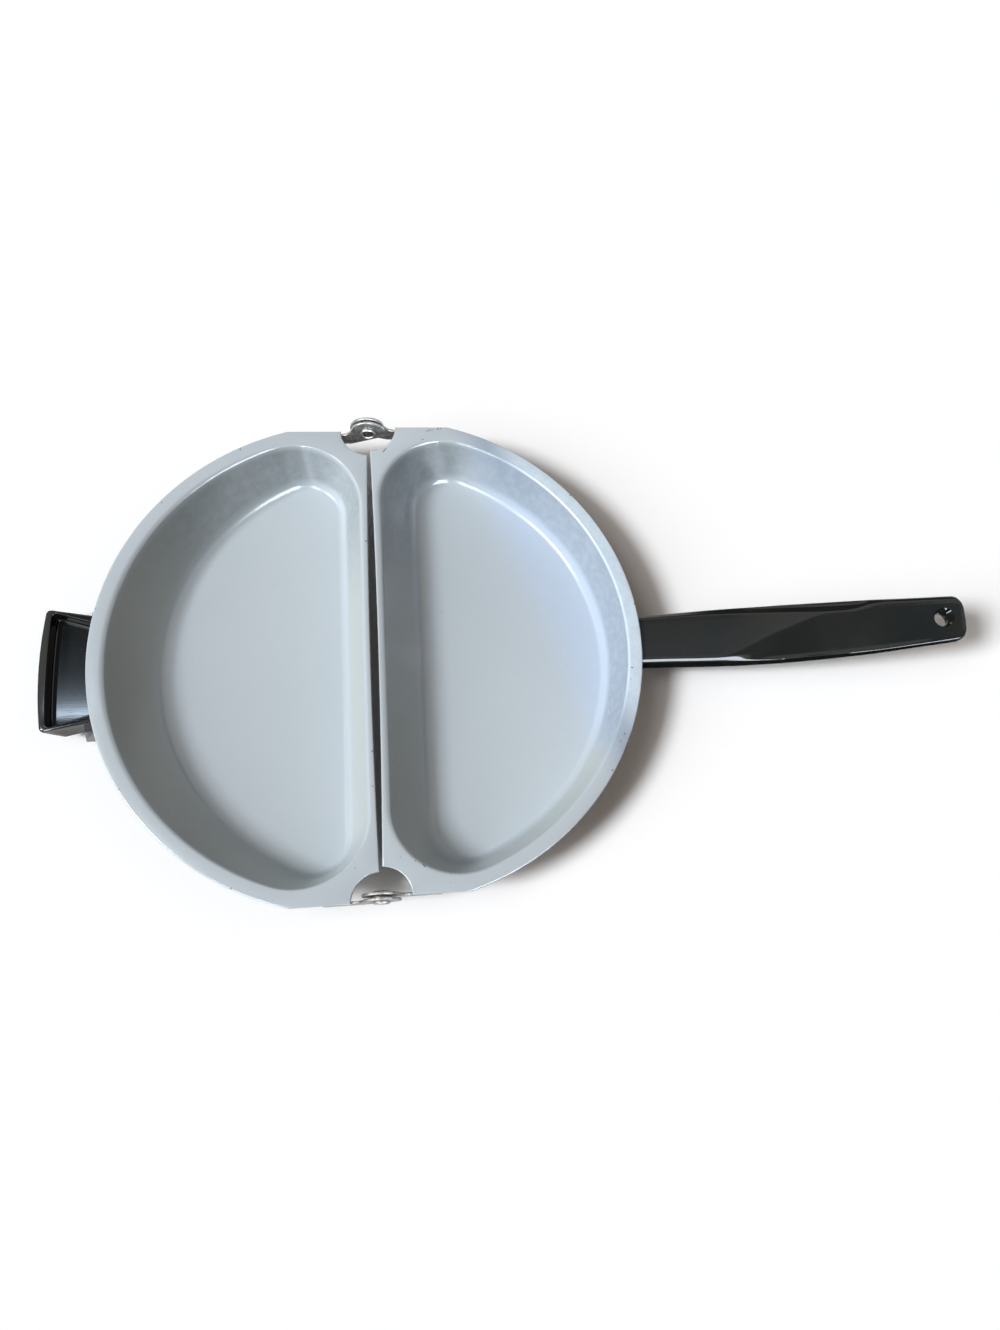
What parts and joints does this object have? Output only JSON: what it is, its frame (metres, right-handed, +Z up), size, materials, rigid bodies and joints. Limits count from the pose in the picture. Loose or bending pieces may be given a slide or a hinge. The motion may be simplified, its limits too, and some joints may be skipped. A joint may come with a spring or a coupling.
{
  "type": "omelette pan",
  "caption": "Folding enamelled omelette pan, lying open: two half-round pans on a riveted hinge line, a long black handle and a short helper handle.",
  "frame": {"origin": "under the middle of the open pan's overall box, on the surface that both floors stand on", "axes": "+X from the helper handle to the long handle, +Y along the hinge line, +Z up"},
  "size_m": [0.437, 0.2352, 0.0433],
  "materials": {
    "pale_enamel": "glossy vitreous enamel, pale blue-grey inside and over the rim",
    "black_enamel": "semi-gloss black enamel under the rim and on the welded brackets",
    "bright_steel": "bare rubbed steel",
    "zinc_steel": "dull zinc plating",
    "black_phenolic": "glossy moulded phenolic"
  },
  "bodies": {
    "base": {"base_pan": "pale_enamel", "base_leaf_north": "bright_steel", "base_leaf_south": "bright_steel", "hinge_rivet_north": "bright_steel", "hinge_rivet_south": "bright_steel", "hinge_washer_north": "bright_steel", "hinge_washer_south": "bright_steel", "long_handle": "black_phenolic", "long_handle_bracket": "black_enamel", "long_handle_screw": "zinc_steel", "long_handle_washer": "zinc_steel"},
    "lid": {"lid_pan": "pale_enamel", "lid_leaf_north": "bright_steel", "lid_leaf_south": "bright_steel", "helper_handle": "black_phenolic", "helper_bracket": "black_enamel", "helper_north_screw": "zinc_steel", "helper_north_washer": "zinc_steel", "helper_south_screw": "zinc_steel", "helper_south_washer": "zinc_steel"}
  },
  "joints": [
    {"name": "lid_hinge", "type": "hinge", "parent": "base", "child": "lid", "pos_m": [-0.06726, 0, 0.0268], "axis": [0, 1, 0], "range_deg": [0, 180]}
  ]
}
